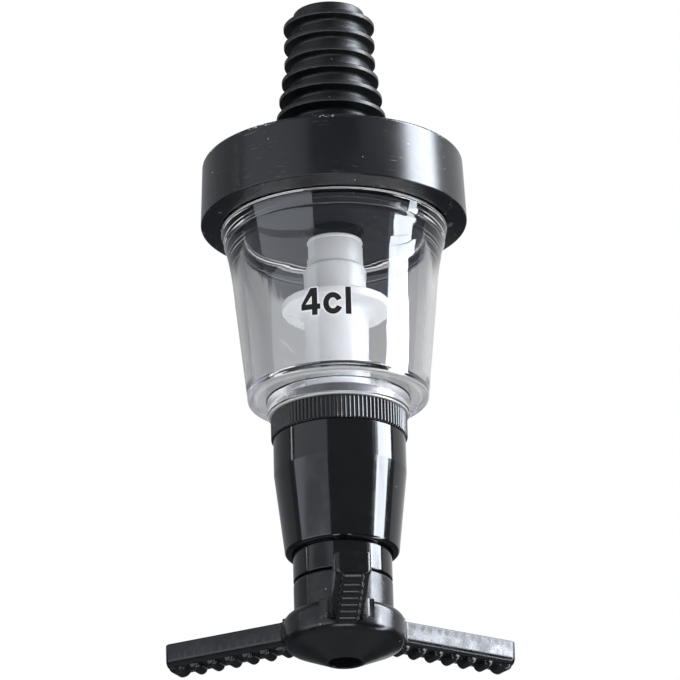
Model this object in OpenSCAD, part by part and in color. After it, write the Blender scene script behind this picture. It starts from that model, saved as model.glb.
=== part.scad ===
// Spirit measure that is pushed into the neck of an upside-down bottle.
// A glass lifts the three arms: the sleeve and the white valve tube rise, the tip shuts the inlet,
// and the ports in the tube let the measured dose out through the hub.
// The axis is Z, and the origin is at the middle gripping fin of the bottle stopper.

/* [Bottle stopper] */
// Radius of the three gripping fins
fin_r = 10; // [9:0.1:12]
// Height of a fin's cylindrical rim
fin_land = 0.9; // [0.6:0.1:1.2]
// Thickness of a fin at its root
fin_root_t = 2; // [1.4:0.1:2.6]
// Distance from one fin to the next
fin_pitch = 4.35; // [3.6:0.05:5.5]
// Number of wider fins below the gripping fins
flare_fins = 4; // [2:1:6]
// Growth in radius from one wider fin to the next
fin_step = 0.65; // [0.3:0.05:1]
// Depth of the grooves between the gripping fins
fin_depth = 2.3; // [1.6:0.1:2.5]
// Growth of the stopper's core from its top to the cap
core_growth = 1.7; // [0.5:0.1:2.5]
// Rubber between the grooves and the cap's spigot
stopper_wall = 1.8; // [1.4:0.1:2.2]
// Step from the stopper's core out to its plain top
nose_lip = 0.1; // [0:0.05:0.8]
// Height of the stopper's top above the middle of the top fin
nose_h = 3.4; // [2.5:0.05:5]
// Distance from the lowest fin to the cap
foot_h = 6.4; // [4:0.1:12]
// Wall of the cap's spigot inside the stopper
spigot_wall = 1.3; // [1:0.1:1.6]

/* [Cap and lid] */
// Wall of the cap's skirt at its lower edge
skirt_wall = 4.25; // [3:0.05:6]
// Taper of the cap from its lower to its top edge
cap_taper = 0.6; // [0:0.1:1.5]
// Room above the lid inside the cap
cap_room = 1.7; // [1.2:0.1:5]
// Radius of the cap's rounded top edge
cap_edge_r = 0.7; // [0.4:0.1:2]
// Fall of the cap's underside from its edge to the chamber
cap_fall = 0.9; // [0.3:0.1:1.5]
// Thickness of the cap's top plate
cap_plate_t = 3; // [2:0.1:3.5]
// Distance of the chamber's ceiling below the cap's lower edge
ceiling_drop = 1; // [0.6:0.1:3]
// Thickness of the lid's ceiling
lid_t = 2.5; // [2:0.1:3]
// Wall of the lid's plug
lid_wall = 2; // [1.5:0.1:3]
// Thickness of the lid's flange
lid_flange_t = 2; // [1.5:0.1:2.2]
// Thickness of the flat gaskets
gasket_t = 1; // [0.6:0.1:1.1]
// Wall of the inlet socket in the lid
socket_wall = 1.55; // [1.2:0.05:3]
// Wall of the inlet seal
seal_wall = 2.02; // [1.5:0.02:3]
// Height of the inlet seal and of the floor seal
seal_h = 2.5; // [2:0.1:3]
// Wall of the floor seal and of the guide bush
gland_wall = 2.6; // [2:0.1:3]
// Thickness of the ring below the inlet seal
retainer_t = 1.2; // [0.8:0.1:1.8]
// Distance from the vent valve to the lid's wall
vent_inset = 1.7; // [1:0.1:2.4]
// Radius of the vent valve's umbrella
vent_r = 3.6; // [3.3:0.1:4.2]

/* [Chamber] */
// Growth of the flare from the waist to the rim inside the cap
flare_w = 2.85; // [1:0.05:4]
// Height of the rim above the cap's lower edge
rim_h = 6.5; // [5.5:0.1:7]
// Growth of the cone from its lower edge to the waist
cone_growth = 2.25; // [1:0.05:5]
// Distance from the cap's lower edge to the waist
waist_drop = 18; // [9:0.5:22]
// Width of the chamber's flat base outside its neck ring
base_w = 3.2; // [0.4:0.1:5]
// Radius of the lower edge's rounding
foot_edge_r = 1; // [0.5:0.1:2]
// Distance from the cap's lower edge to the chamber's base
chamber_h = 41; // [39:0.2:60]
// Wall of the chamber
chamber_wall = 2; // [1.6:0.1:2.4]
// Thickness of the chamber's floor
floor_t = 2.3; // [2:0.1:3.5]
// Step from the light washer out to the ring under the chamber
neck_ring_step = 0.4; // [0.2:0.1:1.2]
// Height of the ring under the chamber
neck_ring_h = 3.4; // [0.8:0.1:4.5]
// Wall of the chamber's neck inside the barrel
neck_wall = 2.75; // [2:0.05:3]

/* [Nut and barrel] */
// Step from the nut out to the light washer above it
washer_step = 0.3; // [0.2:0.1:1]
// Thickness of the light washer above the nut
washer_t = 0.4; // [0.3:0.1:1]
// Step from the barrel out to the nut's serrations
nut_step = 0.45; // [0.2:0.05:0.9]
// Height of the nut
nut_h = 5.2; // [4:0.1:8]
// Number of serrations round the nut
serrations = 96; // [60:4:120]
// Depth of a serration
serration_depth = 0.35; // [0.2:0.05:0.5]
// Wall of the barrel round the chamber's neck
barrel_wall = 1.8; // [1.2:0.05:2.5]
// Height of the barrel's straight upper part
barrel_straight_h = 7.9; // [4:0.1:10]
// Wall of the barrel at its mouth
mouth_wall = 1.52; // [1.3:0.02:2]
// Height of the barrel
barrel_h = 26.2; // [24:0.1:36]
// Radius of the rounding at the barrel's mouth
mouth_edge_r = 0.7; // [0.3:0.1:0.9]
// Length of the guide at the barrel's mouth
guide_h = 3.6; // [2.5:0.1:6]

/* [Plunger] */
// Wall of the sleeve
sleeve_wall = 1.1; // [0.9:0.05:1.5]
// Step from the sleeve out to its stop flange
stop_step = 0.7; // [0.5:0.05:0.8]
// Height of the sleeve's stop flange
stop_h = 2; // [1.5:0.1:4]
// Length of sleeve that shows below the barrel at rest
sleeve_show = 6.1; // [4.5:0.1:12]
// Thickness of the sleeve's floor
sleeve_floor_t = 2.5; // [1.8:0.1:3]
// Height of the sleeve's floor above its shoulder
floor_rise = 1.3; // [1:0.1:2.2]
// Outer radius of the valve tube
tube_r = 7; // [6.8:0.05:7.1]
// Wall of the valve tube
tube_wall = 2.2; // [1.8:0.1:2.6]
// Step in to the tube's lower end
tube_step = 1; // [0.8:0.05:1.2]
// Width of a drain port in the tube
port_w = 5; // [2.5:0.1:6]
// Height of a drain port in the tube
port_h = 4; // [2.5:0.1:5]
// Radius of the inlet tip
tip_r = 6.1; // [5.8:0.05:6.3]
// Height of the inlet tip above the plug body
tip_h = 6.8; // [5:0.1:8]
// Width of the plug body's shoulder round the tip
plug_step = 0.65; // [0.5:0.05:1]
// Height of the plug body
plug_h = 8.2; // [6:0.1:12]
// Width of the dose disc round the tube
disc_w = 4.8; // [2.5:0.1:7]
// Thickness of the dose disc
disc_t = 2; // [1.5:0.1:4]
// Height of the hub below the dose disc
disc_hub_h = 2.2; // [1.5:0.1:4]
// Distance from the ceiling to the inlet tip at rest
inlet_open = 2.6; // [2:0.1:6]
// Diameter of the spring's wire
wire_d = 1; // [0.7:0.05:1.2]
// Clearance between the spring and the walls beside it
spring_clear = 0.75; // [0.5:0.05:1]
// Turns of the spring
spring_turns = 6.5; // [5:0.5:8]

/* [Arm spider] */
// Height of the collar above the hub
collar_h = 7.5; // [7:0.1:12]
// Wall of the collar round the sleeve's spigot
collar_wall = 1.92; // [1.7:0.02:2.2]
// Radius of the collar's rounded top edge
collar_edge_r = 0.9; // [0.3:0.1:1.2]
// Step from the collar out to the hub
hub_step = 2.4; // [2.3:0.1:5]
// Height of the hub
hub_h = 6.7; // [6.5:0.1:12]
// Radius of the hub's rounded top edge
hub_edge_r = 2.2; // [0.5:0.1:2.2]
// Radius of the hub's rounded lower edge
hub_foot_r = 2; // [0.5:0.1:2.2]
// Height of the cone below the hub
cone_h = 3.8; // [2:0.1:6]
// Radius of the outlet
outlet_r = 3.6; // [3.2:0.1:4.5]
// Width of the rim round the outlet
outlet_rim = 0.7; // [0.4:0.1:1.5]
// Distance from the axis to an arm's tip
arm_reach = 41.7; // [38:0.1:60]
// Width of an arm
arm_w = 7.7; // [6.6:0.1:9]
// Distance from the hub's top to an arm's top
arm_drop = 0.2; // [0.1:0.1:0.8]
// Height of an arm without its teeth
arm_h = 4.95; // [4:0.05:5.1]
// Radius of an arm's lower edges
arm_edge_r = 1.35; // [0.6:0.05:1.8]
// Radius of the corner at an arm's tip
tip_edge_r = 2; // [1.4:0.1:2.4]
// Radius of the fillets between arm and hub
root_fillet_r = 2; // [1:0.1:3]
// Number of teeth under an arm, with the rounded tip as the first
teeth = 7; // [4:1:7]
// Distance from one tooth to the next
tooth_pitch = 4.25; // [3.6:0.05:4.3]
// Radius of a tooth's crest
tooth_r = 1.35; // [1:0.05:1.7]
// Height of a tooth
tooth_h = 1.3; // [0.6:0.05:1.4]

/* [Clearances] */
// Radial clearance of a fitted or screwed piece
fit_gap = 0.05; // [0.03:0.01:0.1]
// Radial clearance of a sliding or turning piece
run_gap = 0.08; // [0.05:0.01:0.1]
// Clearance between pieces that only pass each other
free_gap = 0.4; // [0.3:0.05:0.5]

/* [Hidden] */
$fn = 96;
arc_steps = 8;

// Small fixed features
tip_wall = 1.5;
pin_engage = 6;
tip_lip = 0.15;
tip_lip_h = 0.7;
plug_edge_r = 0.8;
clip_t = 0.8;
clip_grip = 0.3;
clip_w = 1.4;
spring_seat_t = 0.8;
pivot_wall = 1.1;
pivot_end_gap = 0.3;
snap_t = 0.9;
snap_grip = 0.4;
snap_proud = 0.6;
snap_split = 3;
snap_drop = 4.5;
vent_stem_r = 1.1;
vent_hole_r = 0.6;
vent_disc_t = 0.7;
vent_head_r = 1.6;
vent_head_h = 1.8;
vent_hole_ring = 0.65;
vent_flat = 0.6;
vent_point = 0.5;
nose_edge_r = 0.6;
funnel_land = 1;
over = 1;

// The lift ends when the plug body's shoulder comes up to the ceiling
stroke = inlet_open + tip_h - free_gap;

// Radii of the stopper, from the gripping fins inwards
stopper_root_r = fin_r - fin_depth;
stopper_foot_r = stopper_root_r + core_growth;
nose_r = stopper_root_r + nose_lip;
spigot_r = stopper_root_r - stopper_wall;
inlet_bore_r = spigot_r - spigot_wall;

// Radii of the plunger, from the tube outwards
tube_bore_r = tube_r - tube_wall;
tube_end_r = tube_r - tube_step;
stem_r = tube_bore_r - fit_gap;
disc_r = tube_r + disc_w;
spring_r = tube_r + spring_clear + wire_d / 2;
sleeve_bore_r = spring_r + wire_d / 2 + spring_clear;
sleeve_r = sleeve_bore_r + sleeve_wall;
stop_r = sleeve_r + stop_step;
spider_bore_r = sleeve_r - collar_wall;
pivot_r = spider_bore_r - run_gap;
hub_r = sleeve_r + hub_step;

// Radii of the barrel, nut and chamber, from the tube outwards
gland_bore_r = tube_r + run_gap;
gland_r = tube_r + gland_wall;
neck_r = gland_r + fit_gap + neck_wall;
barrel_r = neck_r + fit_gap + barrel_wall;
barrel_bore_r = stop_r + run_gap;
guide_bore_r = sleeve_r + run_gap;
barrel_mouth_r = guide_bore_r + mouth_wall;
nut_r = barrel_r + nut_step;
washer_r = nut_r + washer_step;
neck_ring_r = washer_r + neck_ring_step;
chamber_foot_r = neck_ring_r + base_w + foot_edge_r;
waist_r = chamber_foot_r + cone_growth;
rim_r = waist_r + flare_w;
rim_bore_r = rim_r - chamber_wall;

// Radii of the lid, its inlet and the cap
plug_r = tip_r + plug_step;
tip_pin_r = tip_r - tip_wall;
seal_bore_r = tip_r + run_gap;
seal_r = seal_bore_r + seal_wall;
socket_bore_r = tip_r + free_gap;
socket_r = seal_r + fit_gap + socket_wall;
plug_lid_r = rim_bore_r - free_gap;
vent_offset = plug_lid_r - lid_wall - vent_inset - vent_r;
skirt_bore_r = rim_r + fit_gap;
cap_r = skirt_bore_r + skirt_wall;
cap_top_r = cap_r - cap_taper;
cap_h = rim_h + gasket_t + lid_flange_t + cap_room + cap_plate_t;

// Levels along the axis, from the stopper down to the outlet
lowest_fin_z = -(1 + flare_fins) * fin_pitch;
stopper_top_z = fin_pitch + nose_h;
cap_top_z = lowest_fin_z - foot_h;
cap_low_z = cap_top_z - cap_h;
plate_low_z = cap_top_z - cap_plate_t;
rim_top_z = cap_low_z + rim_h;
lid_flange_z = rim_top_z + gasket_t;
lid_top_z = lid_flange_z + lid_flange_t;
ceiling_z = cap_low_z - ceiling_drop;
socket_top_z = plate_low_z - gasket_t;
waist_z = cap_low_z - waist_drop;
chamber_base_z = cap_low_z - chamber_h;
chamber_floor_z = chamber_base_z + floor_t;
washer_top_z = chamber_base_z - neck_ring_h;
nut_top_z = washer_top_z - washer_t;
barrel_top_z = nut_top_z - nut_h;
barrel_low_z = barrel_top_z - barrel_h;
ledge_z = barrel_low_z + guide_h;
neck_low_z = ledge_z + stop_h + stroke + free_gap;
shoulder_z = barrel_low_z - sleeve_show;
sleeve_floor_z = shoulder_z + floor_rise;
sleeve_under_z = sleeve_floor_z - sleeve_floor_t;
collar_top_z = shoulder_z - run_gap;
hub_top_z = shoulder_z - collar_h;
hub_low_z = hub_top_z - hub_h;
outlet_z = hub_low_z - cone_h;
tip_top_z = ceiling_z - inlet_open;
plug_top_z = tip_top_z - tip_h;
disc_top_z = plug_top_z - plug_h;
tube_top_z = disc_top_z - disc_t - disc_hub_h;
seal_low_z = chamber_base_z - seal_h;
snap_z = shoulder_z - snap_drop;
funnel_z = hub_top_z - free_gap;
funnel_end_z = hub_low_z + funnel_land;

// Points on a circle from one angle to another, in the plane of radius and height
function arc(r, z, radius, from, to) =
    [for (k = [0:arc_steps])
        let (a = from + (to - from) * k / arc_steps)
        [r + radius * cos(a), z + radius * sin(a)]];

// Points on a curve that leaves a along b and arrives at c from b
function bend(a, b, c) =
    [for (k = [0:arc_steps])
        let (t = k / arc_steps)
        (1 - t) * (1 - t) * a + 2 * t * (1 - t) * b + t * t * c];

// Flat ring between two levels
module ring(outer, inner, low, high) {
    translate([0, 0, low])
        difference() {
            cylinder(r = outer, h = high - low);
            translate([0, 0, -over])
                cylinder(r = inner, h = high - low + 2 * over);
        }
}

// Hole along the axis between two levels
module hole(radius, low, high) {
    translate([0, 0, low])
        cylinder(r = radius, h = high - low);
}

// Radius of a fin, counted down from the top one
function fin_radius(k) = fin_r + max(0, k - 2) * fin_step;
function fin_level(k) = (1 - k) * fin_pitch;
function root_radius(z) =
    stopper_root_r + (stopper_foot_r - stopper_root_r) * (stopper_top_z - z) / (stopper_top_z - cap_top_z);

module bottle_stopper() {
    last_fin = 2 + flare_fins;
    fins = [for (k = [0:last_fin])
        let (z = fin_level(k))
        each [
            [root_radius(z), z + fin_root_t / 2],
            [fin_radius(k), z + fin_land / 2],
            [fin_radius(k), z - fin_land / 2],
            [root_radius(z), z - fin_root_t / 2]]];
    color("#17181a")
        difference() {
            rotate_extrude()
                polygon(concat(
                    [[0, stopper_top_z]],
                    arc(nose_r - nose_edge_r, stopper_top_z - nose_edge_r, nose_edge_r, 90, 0),
                    [[nose_r, fin_level(0) + fin_root_t / 2]],
                    fins,
                    [[stopper_foot_r, cap_top_z], [0, cap_top_z]]));
            hole(spigot_r + fit_gap, cap_top_z - over, stopper_top_z + over);
        }
}

module top_cap() {
    color("#202226")
        difference() {
            union() {
                rotate_extrude()
                    polygon(concat(
                        [[0, cap_top_z]],
                        arc(cap_top_r - cap_edge_r, cap_top_z - cap_edge_r, cap_edge_r, 90, 0),
                        [[cap_r, cap_low_z], [skirt_bore_r, cap_low_z - cap_fall], [0, cap_low_z - cap_fall]]));
                hole(spigot_r, cap_top_z - over, stopper_top_z);
            }
            // Thread bore of the skirt, up to the ledge that presses on the lid's flange
            hole(skirt_bore_r, cap_low_z - cap_fall - over, lid_top_z);
            // Hollow above the lid
            hole(plug_lid_r, lid_top_z - over, plate_low_z);
            // Liquid passage
            hole(inlet_bore_r, plate_low_z - over, stopper_top_z + over);
            // Air hole behind the stopper
            translate([0, vent_offset + vent_r, 0])
                hole(vent_stem_r, plate_low_z - over, cap_top_z + over);
        }
}

module inlet_gasket() {
    color("#3a3a3c") ring(socket_r, socket_bore_r, socket_top_z, plate_low_z);
}

module chamber_lid() {
    color("#1c1e21")
        difference() {
            union() {
                difference() {
                    union() {
                        hole(plug_lid_r, ceiling_z, lid_top_z);
                        hole(rim_r, lid_flange_z, lid_top_z);
                    }
                    hole(plug_lid_r - lid_wall, ceiling_z + lid_t, lid_top_z + over);
                }
                hole(socket_r, ceiling_z, socket_top_z);
            }
            hole(socket_bore_r, ceiling_z - over, socket_top_z + over);
            hole(seal_r + fit_gap, ceiling_z - over, ceiling_z + retainer_t + seal_h);
            translate([0, vent_offset, 0]) {
                hole(vent_stem_r + fit_gap, ceiling_z - over, ceiling_z + lid_t + over);
                for (a = [30:120:270])
                    rotate(a)
                        translate([vent_r * vent_hole_ring, 0, 0])
                            hole(vent_hole_r, ceiling_z - over, ceiling_z + lid_t + over);
            }
        }
}

module lid_gasket() {
    color("#3a3a3c") ring(rim_r, rim_bore_r, rim_top_z, lid_flange_z);
}

module inlet_seal() {
    color("#2b2b2d") ring(seal_r, seal_bore_r, ceiling_z + retainer_t, ceiling_z + retainer_t + seal_h);
}

module seal_retainer() {
    color("#1c1e21") ring(seal_r, socket_bore_r, ceiling_z, ceiling_z + retainer_t);
}

module vent_valve() {
    head_z = ceiling_z + lid_t;
    color("#2b2b2d")
        translate([0, vent_offset, 0])
            rotate_extrude()
                polygon([
                    [0, ceiling_z - vent_disc_t], [vent_r * vent_flat, ceiling_z - vent_disc_t], [vent_r, ceiling_z],
                    [vent_stem_r, ceiling_z], [vent_stem_r, head_z], [vent_head_r, head_z],
                    [vent_stem_r * vent_point, head_z + vent_head_h], [0, head_z + vent_head_h]]);
}

// Chamber profile: rim, flare, cone and rounded lower edge
cone_edge_z = chamber_base_z + foot_edge_r;
cone_slope = (waist_r - chamber_foot_r) / (waist_z - cone_edge_z);
flare_z = cap_low_z - cap_fall;
flare_knee = [waist_r + cone_slope * waist_drop / 2, waist_z + waist_drop / 2];
function cone_radius(z) = waist_r + cone_slope * (z - waist_z);

module chamber() {
    flare = bend([rim_r, flare_z], flare_knee, [waist_r, waist_z]);
    wall_flare = bend([waist_r, waist_z], flare_knee, [rim_r, flare_z]);
    outer = concat(
        [[0, rim_top_z], [rim_r, rim_top_z]],
        flare,
        arc(chamber_foot_r - foot_edge_r, cone_edge_z, foot_edge_r, 0, -90),
        [[neck_ring_r, chamber_base_z], [neck_ring_r, washer_top_z], [neck_r, washer_top_z],
            [neck_r, neck_low_z], [0, neck_low_z]]);
    hollow = concat(
        [[0, chamber_floor_z], [cone_radius(chamber_floor_z) - chamber_wall, chamber_floor_z]],
        [for (p = wall_flare) [p[0] - chamber_wall, p[1]]],
        [[rim_bore_r, rim_top_z + over], [0, rim_top_z + over]]);
    color([0.86, 0.87, 0.9, 0.35])
        difference() {
            rotate_extrude() polygon(outer);
            rotate_extrude() polygon(hollow);
            hole(tube_r + free_gap, chamber_base_z - over, chamber_floor_z + over);
            hole(gland_r + fit_gap, neck_low_z - over, chamber_base_z);
        }
}

module neck_washer() {
    color("#e8e8e6") ring(washer_r, neck_r + fit_gap, nut_top_z, washer_top_z);
}

module floor_seal() {
    color("#2b2b2d") ring(gland_r, gland_bore_r, seal_low_z, chamber_base_z);
}

module guide_bush() {
    color("#d9d9d6") ring(gland_r, gland_bore_r, neck_low_z, seal_low_z);
}

module knurled_nut() {
    half_step = 180 / serrations;
    outline = [for (k = [0:2 * serrations - 1])
        let (r = nut_r - (k % 2) * serration_depth)
        [r * cos(k * half_step), r * sin(k * half_step)]];
    color("#26282b")
        difference() {
            translate([0, 0, barrel_top_z])
                linear_extrude(nut_h) polygon(outline);
            hole(neck_r + fit_gap, barrel_top_z - over, nut_top_z + over);
        }
}

module barrel() {
    straight_z = barrel_top_z - barrel_straight_h;
    color("#101114")
        difference() {
            rotate_extrude()
                polygon(concat(
                    [[0, barrel_top_z], [barrel_r, barrel_top_z], [barrel_r, straight_z]],
                    arc(barrel_mouth_r - mouth_edge_r, barrel_low_z + mouth_edge_r, mouth_edge_r, 0, -90),
                    [[0, barrel_low_z]]));
            hole(neck_r + fit_gap, neck_low_z, barrel_top_z + over);
            hole(barrel_bore_r, ledge_z, neck_low_z + over);
            hole(guide_bore_r, barrel_low_z - over, ledge_z + over);
        }
}

// Return spring: one unbroken tube along a helix between the washer and the guide bush
curl_rings = 8;
wire_sides = 6;
spring_low_z = sleeve_floor_z + spring_seat_t + wire_d / 2 + fit_gap;
spring_high_z = neck_low_z - wire_d / 2 - fit_gap;
spring_rings = spring_turns * curl_rings;
spring_path = [for (k = [0:spring_rings])
    let (a = 360 * k / curl_rings)
    [spring_r * cos(a), spring_r * sin(a), spring_low_z + (spring_high_z - spring_low_z) * k / spring_rings]];
spring_gaps = [for (k = [0:spring_rings - curl_rings])
    for (j = [k + curl_rings - 1:min(k + curl_rings + 1, spring_rings)])
        norm(spring_path[j] - spring_path[k]) - wire_d];
echo(spring_least_gap = min(spring_gaps));

module return_spring() {
    points = [for (k = [0:spring_rings])
        let (a = 360 * k / curl_rings)
        for (s = [0:wire_sides - 1])
            let (b = 360 * s / wire_sides)
            spring_path[k] + wire_d / 2 * [cos(a) * cos(b), sin(a) * cos(b), sin(b)]];
    last = spring_rings * wire_sides;
    sides = [for (k = [0:spring_rings - 1])
        for (s = [0:wire_sides - 1])
            let (p = k * wire_sides + s, q = k * wire_sides + (s + 1) % wire_sides)
            each [[p, p + wire_sides, q], [q, p + wire_sides, q + wire_sides]]];
    ends = [for (s = [1:wire_sides - 2])
        each [[0, s, s + 1], [last, last + s + 1, last + s]]];
    color("#b9bcc0") polyhedron(points, concat(sides, ends));
}

module inlet_tip() {
    pin_z = plug_top_z + pin_engage - over;
    color("#e9e9e7")
        difference() {
            rotate_extrude()
                polygon([
                    [0, tip_top_z], [tip_r, tip_top_z], [tip_r, tip_top_z - tip_lip_h],
                    [tip_r - tip_lip, tip_top_z - tip_lip_h - tip_lip], [tip_r - tip_lip, plug_top_z],
                    [0, plug_top_z]]);
            hole(tip_pin_r + fit_gap, plug_top_z - over, pin_z);
        }
}

module plug_body() {
    color("#e9e9e7")
        union() {
            rotate_extrude()
                polygon(concat(
                    [[0, plug_top_z]],
                    arc(plug_r - plug_edge_r, plug_top_z - plug_edge_r, plug_edge_r, 90, 0),
                    [[plug_r, disc_top_z], [0, disc_top_z]]));
            hole(tip_pin_r, plug_top_z - over, plug_top_z + pin_engage - 2 * over);
            hole(stem_r, tube_top_z - pin_engage, disc_top_z + over);
        }
}

module dose_disc() {
    color("#ececea")
        difference() {
            rotate_extrude()
                polygon(concat(
                    [[0, disc_top_z], [disc_r, disc_top_z], [disc_r, disc_top_z - disc_t]],
                    bend([tube_r + disc_hub_h, disc_top_z - disc_t], [tube_r, disc_top_z - disc_t],
                        [tube_r, tube_top_z]),
                    [[0, tube_top_z]]));
            hole(stem_r + fit_gap, tube_top_z - over, disc_top_z + over);
        }
}

module valve_tube() {
    // At full stroke the ports stand just above the chamber's floor
    port_low_z = chamber_floor_z - stroke + fit_gap;
    end_z = hub_top_z + pivot_end_gap;
    color("#ececea")
        difference() {
            union() {
                hole(tube_r, sleeve_floor_z, tube_top_z);
                hole(tube_end_r, end_z, sleeve_floor_z + over);
            }
            hole(tube_bore_r, end_z - over, tube_top_z + over);
            for (a = [0:90:270])
                rotate(a + 45)
                    translate([tube_bore_r - over, -port_w / 2, port_low_z])
                        cube([tube_r - tube_bore_r + 2 * over, port_w, port_h]);
            ring(tube_end_r + over, tube_end_r - clip_grip, sleeve_under_z - clip_t, sleeve_under_z);
        }
}

module plunger_sleeve() {
    end_z = hub_top_z + pivot_end_gap;
    color("#141518")
        difference() {
            union() {
                hole(stop_r, ledge_z, ledge_z + stop_h);
                hole(sleeve_r, shoulder_z, ledge_z + over);
                hole(pivot_r, end_z, shoulder_z + over);
            }
            hole(sleeve_bore_r, sleeve_floor_z, ledge_z + stop_h + over);
            hole(tube_end_r + fit_gap, sleeve_under_z - over, sleeve_floor_z + over);
            hole(pivot_r - pivot_wall, end_z - over, sleeve_under_z);
            ring(pivot_r + over, pivot_r - snap_grip, snap_z, snap_z + snap_t);
        }
}

module spring_washer() {
    color("#c3c5c8") ring(sleeve_bore_r - fit_gap, gland_bore_r, sleeve_floor_z, sleeve_floor_z + spring_seat_t);
}

module tube_clip() {
    color("#c3c5c8")
        difference() {
            ring(tube_end_r + clip_w - clip_grip, tube_end_r - clip_grip + fit_gap,
                sleeve_under_z - clip_t + fit_gap, sleeve_under_z);
            translate([0, -clip_w / 2, sleeve_under_z - clip_t - over])
                cube([tube_end_r + clip_w + over, clip_w, clip_t + 2 * over]);
        }
}

module snap_ring() {
    color("#c3c5c8")
        difference() {
            ring(pivot_r + snap_proud, pivot_r - snap_grip + fit_gap, snap_z + fit_gap, snap_z + snap_t - fit_gap);
            translate([0, -snap_split / 2, snap_z - over])
                cube([pivot_r + snap_proud + over, snap_split, snap_t + 2 * over]);
        }
}

// One arm along +X: a bar with rounded lower edges, and a narrower row of round teeth under it
module arm() {
    top_z = hub_top_z - arm_drop;
    low_z = top_z - arm_h;
    crest_z = low_z - tooth_h;
    half_w = arm_w / 2;
    root_x = hub_r - hub_edge_r - over;
    nose_x = arm_reach - tip_edge_r;
    intersection() {
        union() {
            translate([root_x, -half_w, low_z])
                cube([nose_x - root_x, arm_w, arm_h]);
            translate([root_x, -half_w, crest_z + tip_edge_r])
                cube([arm_reach - root_x, arm_w, top_z - crest_z - tip_edge_r]);
            translate([nose_x, half_w, crest_z + tip_edge_r])
                rotate([90, 0, 0])
                    cylinder(r = tip_edge_r, h = arm_w);
            for (k = [1:teeth - 1])
                translate([nose_x - k * tooth_pitch, half_w, crest_z + tooth_r])
                    rotate([90, 0, 0])
                        cylinder(r = tooth_r, h = arm_w);
        }
        union() {
            translate([0, -half_w, low_z + arm_edge_r])
                cube([arm_reach + over, arm_w, arm_h - arm_edge_r]);
            translate([0, arm_edge_r - half_w, crest_z])
                cube([arm_reach + over, arm_w - 2 * arm_edge_r, tooth_h + arm_edge_r + over]);
            for (side = [-1, 1])
                translate([0, side * (half_w - arm_edge_r), low_z + arm_edge_r])
                    rotate([0, 90, 0])
                        cylinder(r = arm_edge_r, h = arm_reach + over);
        }
    }
    arm_root(top_z, low_z + arm_edge_r, half_w);
}

// Fillets on both sides of an arm where it leaves the hub
module arm_root(top_z, low_z, half_w) {
    corner_y = half_w + root_fillet_r;
    corner_x = sqrt(pow(hub_r + root_fillet_r, 2) - pow(corner_y, 2));
    root_x = hub_r - hub_edge_r - 2 * over;
    difference() {
        translate([root_x, -corner_y, low_z])
            cube([corner_x - root_x, 2 * corner_y, top_z - low_z]);
        for (side = [-1, 1])
            translate([corner_x, side * corner_y, low_z - over])
                cylinder(r = root_fillet_r, h = top_z - low_z + 2 * over);
        // Outside the touch point of the fillet the hub's own wall is the surface
        for (side = [-1, 1])
            rotate(side * atan2(corner_y, corner_x))
                translate([hub_r * 0.5, side > 0 ? 0 : -hub_r, low_z - over])
                    cube([hub_r, hub_r, top_z - low_z + 2 * over]);
    }
}

module arm_spider() {
    snap_free = snap_proud + free_gap;
    spout_r = outlet_r + outlet_rim;
    // The lower edge's rounding runs from the hub's wall into the cone
    cone_turn = 90 - atan2(cone_h, hub_r - spout_r);
    foot_z = hub_low_z + hub_foot_r * tan(cone_turn / 2);
    color("#121316")
        difference() {
            union() {
                rotate_extrude()
                    polygon(concat(
                        [[0, collar_top_z]],
                        arc(sleeve_r - collar_edge_r, collar_top_z - collar_edge_r, collar_edge_r, 90, 0),
                        [[sleeve_r, hub_top_z]],
                        arc(hub_r - hub_edge_r, hub_top_z - hub_edge_r, hub_edge_r, 90, 0),
                        arc(hub_r - hub_foot_r, foot_z, hub_foot_r, 0, -cone_turn),
                        [[spout_r, outlet_z], [0, outlet_z]]));
                for (a = [-90:120:150])
                    rotate(a) arm();
            }
            hole(spider_bore_r, funnel_z, collar_top_z + over);
            translate([0, 0, funnel_end_z])
                cylinder(r1 = outlet_r, r2 = spider_bore_r, h = funnel_z - funnel_end_z);
            hole(outlet_r, outlet_z - over, funnel_end_z + over);
            hole(pivot_r + snap_free, snap_z - free_gap, snap_z + snap_t + free_gap);
        }
}

bottle_stopper();
top_cap();
inlet_gasket();
chamber_lid();
lid_gasket();
inlet_seal();
seal_retainer();
vent_valve();
chamber();
neck_washer();
floor_seal();
guide_bush();
knurled_nut();
barrel();
return_spring();
inlet_tip();
plug_body();
dose_disc();
valve_tube();
plunger_sleeve();
spring_washer();
tube_clip();
snap_ring();
arm_spider();
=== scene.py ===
import math

import bmesh
import bpy
from mathutils import Matrix, Vector


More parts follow.
